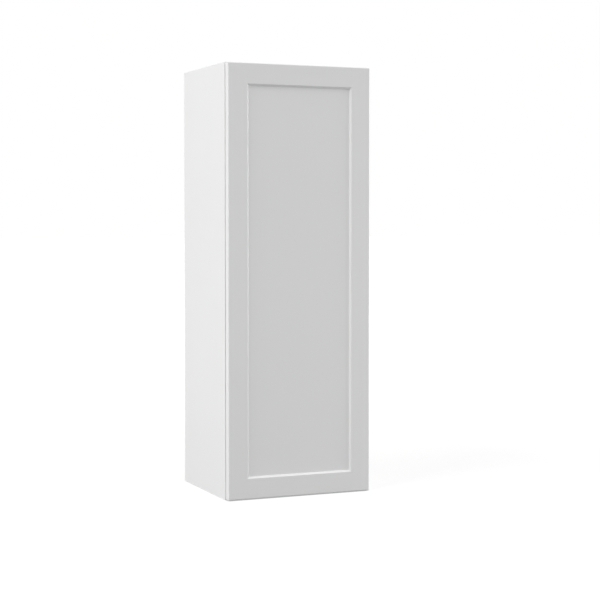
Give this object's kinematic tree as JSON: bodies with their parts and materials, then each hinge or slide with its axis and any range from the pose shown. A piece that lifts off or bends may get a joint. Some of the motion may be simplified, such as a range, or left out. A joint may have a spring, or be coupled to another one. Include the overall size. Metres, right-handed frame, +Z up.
{
  "type": "kitchen wall cabinet",
  "caption": "Tall narrow wall cabinet with a full-overlay recessed-panel door on concealed cup hinges and adjustable shelves.",
  "frame": {"origin": "middle of the closed cabinet's bounding box, on its underside", "axes": "+Z up; the door faces -Y and the wall side faces +Y; +X to the viewer's right when facing the door"},
  "size_m": [0.381, 0.3262, 1.0668],
  "materials": {
    "painted_door": "satin white paint",
    "painted_case": "satin white paint",
    "white_board": "white melamine on board",
    "white_band": "satin edge band",
    "rail_wood": "sanded plywood",
    "beech": "bare beech",
    "nickel": "nickel plate",
    "steel": "turned steel",
    "clear_rubber": "clear soft bumper",
    "spacer_rubber": "foam rubber"
  },
  "bodies": {
    "case": {"left_side": "painted_case", "right_side": "painted_case", "top_panel": "white_board", "bottom_panel": "white_board", "back_panel": "white_board", "upper_hanging_rail": "rail_wood", "lower_hanging_rail": "rail_wood", "left_edge_band": "white_band", "right_edge_band": "white_band", "top_edge_band": "white_band", "bottom_edge_band": "white_band", "case_dowels": "beech", "rail_dowels": "beech", "lower_shelf_pins": "nickel", "middle_shelf_pins": "nickel", "upper_shelf_pins": "nickel", "lower_hinge_arm": "nickel", "middle_hinge_arm": "nickel", "upper_hinge_arm": "nickel", "lower_hinge_plate": "nickel", "middle_hinge_plate": "nickel", "upper_hinge_plate": "nickel", "plate_screws": "nickel", "adjusting_screws": "steel"},
    "door": {"hinge_stile": "painted_door", "free_stile": "painted_door", "top_rail": "painted_door", "bottom_rail": "painted_door", "centre_panel": "painted_door", "panel_spacers": "spacer_rubber", "door_bumpers": "clear_rubber", "lower_hinge_cup": "nickel", "middle_hinge_cup": "nickel", "upper_hinge_cup": "nickel", "lower_hinge_pin": "steel", "middle_hinge_pin": "steel", "upper_hinge_pin": "steel", "cup_screws": "nickel"},
    "lower_shelf_board": {"lower_shelf": "white_board", "lower_shelf_band": "white_band"},
    "middle_shelf_board": {"middle_shelf": "white_board", "middle_shelf_band": "white_band"},
    "upper_shelf_board": {"upper_shelf": "white_board", "upper_shelf_band": "white_band"}
  },
  "joints": [
    {"name": "door_swing", "type": "hinge", "parent": "case", "child": "door", "pos_m": [0.1811, -0.15423, 0.5334], "axis": [0, 0, 1], "range_deg": [0, 100]},
    {"name": "lower_shelf_lift", "type": "slide", "parent": "case", "child": "lower_shelf_board", "axis": [0, 0, 1], "range_m": [0, 0.012]},
    {"name": "middle_shelf_lift", "type": "slide", "parent": "case", "child": "middle_shelf_board", "axis": [0, 0, 1], "range_m": [0, 0.012]},
    {"name": "upper_shelf_lift", "type": "slide", "parent": "case", "child": "upper_shelf_board", "axis": [0, 0, 1], "range_m": [0, 0.012]}
  ]
}
